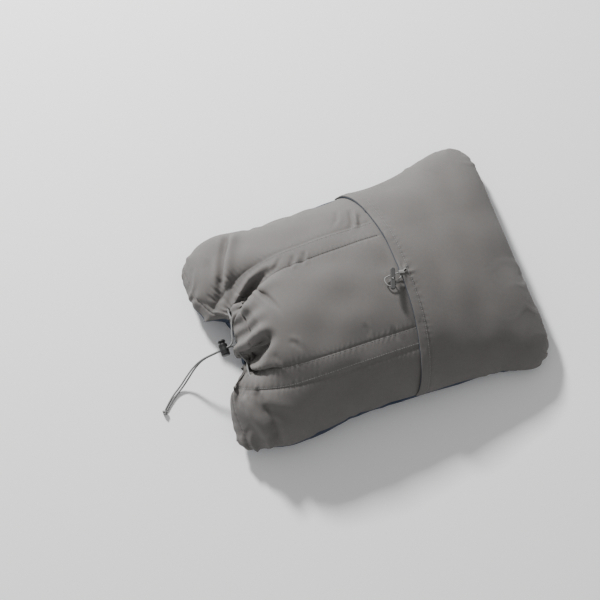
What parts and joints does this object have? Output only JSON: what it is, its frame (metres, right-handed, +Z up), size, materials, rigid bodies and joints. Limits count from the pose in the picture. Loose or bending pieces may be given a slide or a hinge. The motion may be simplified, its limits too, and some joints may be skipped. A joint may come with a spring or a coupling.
{
  "type": "camp pillow",
  "caption": "Padded camp pillow, lying back side up, with a stuff pocket closed by a toggle and a draw-cord cinch with a spring lock at one end.",
  "frame": {"origin": "on the floor under the middle of the case, without the free cord", "axes": "+X along the pillow from the cinched end to the pocket end, +Y across it, +Z up, away from the sleeping face"},
  "size_m": [0.5498, 0.3446, 0.1231],
  "materials": {
    "grey_polyester": "brushed",
    "blue_jersey": "brushed",
    "blue_binding": "woven",
    "casing_tape": "woven",
    "shredded_foam": "open foam",
    "draw_cord": "braided",
    "loop_cord": "braided",
    "light_thread": "stitched",
    "toggle_grey": "matte",
    "lock_black": "matte",
    "spring_steel": "bright"
  },
  "bodies": {
    "pillow": {"front_panel": "blue_jersey", "end_gusset": "grey_polyester", "upper_back_panel": "grey_polyester", "middle_panel": "grey_polyester", "lower_back_panel": "grey_polyester", "upper_channel_strip": "grey_polyester", "lower_channel_strip": "grey_polyester", "upper_channel_tape": "casing_tape", "lower_channel_tape": "casing_tape", "foam_fill": "shredded_foam", "upper_cord_run": "draw_cord", "lower_cord_run": "draw_cord", "upper_cord_tack": "light_thread", "lower_cord_tack": "light_thread", "pocket_panel": "grey_polyester", "pocket_hem": "grey_polyester", "hem_binding": "blue_binding", "stem_tack": "light_thread", "toggle_stem": "loop_cord", "closure_loop": "loop_cord", "loop_tack": "light_thread", "hem_tack": "light_thread", "upper_strand": "draw_cord", "lower_strand": "draw_cord", "end_knot": "draw_cord"},
    "cord_lock": {"lock_body": "lock_black", "lock_spring": "spring_steel"},
    "plunger": {"lock_plunger": "lock_black"},
    "toggle": {"toggle_bar": "toggle_grey"}
  },
  "joints": [
    {"name": "lock_slide", "type": "slide", "parent": "pillow", "child": "cord_lock", "axis": [-0.9397, 0, -0.342], "range_m": [0, 0.018]},
    {"name": "plunger_press", "type": "slide", "parent": "cord_lock", "child": "plunger", "axis": [0, -1, 0], "range_m": [0, 0.0032], "stiffness_N_per_m": 2000, "springref_m": -0.002, "deforming": ["lock_spring"]},
    {"name": "toggle_turn", "type": "hinge", "parent": "pillow", "child": "toggle", "pos_m": [0.041, -0.015, 0.12], "axis": [0, 0, 1], "range_deg": [-90, 90]}
  ]
}
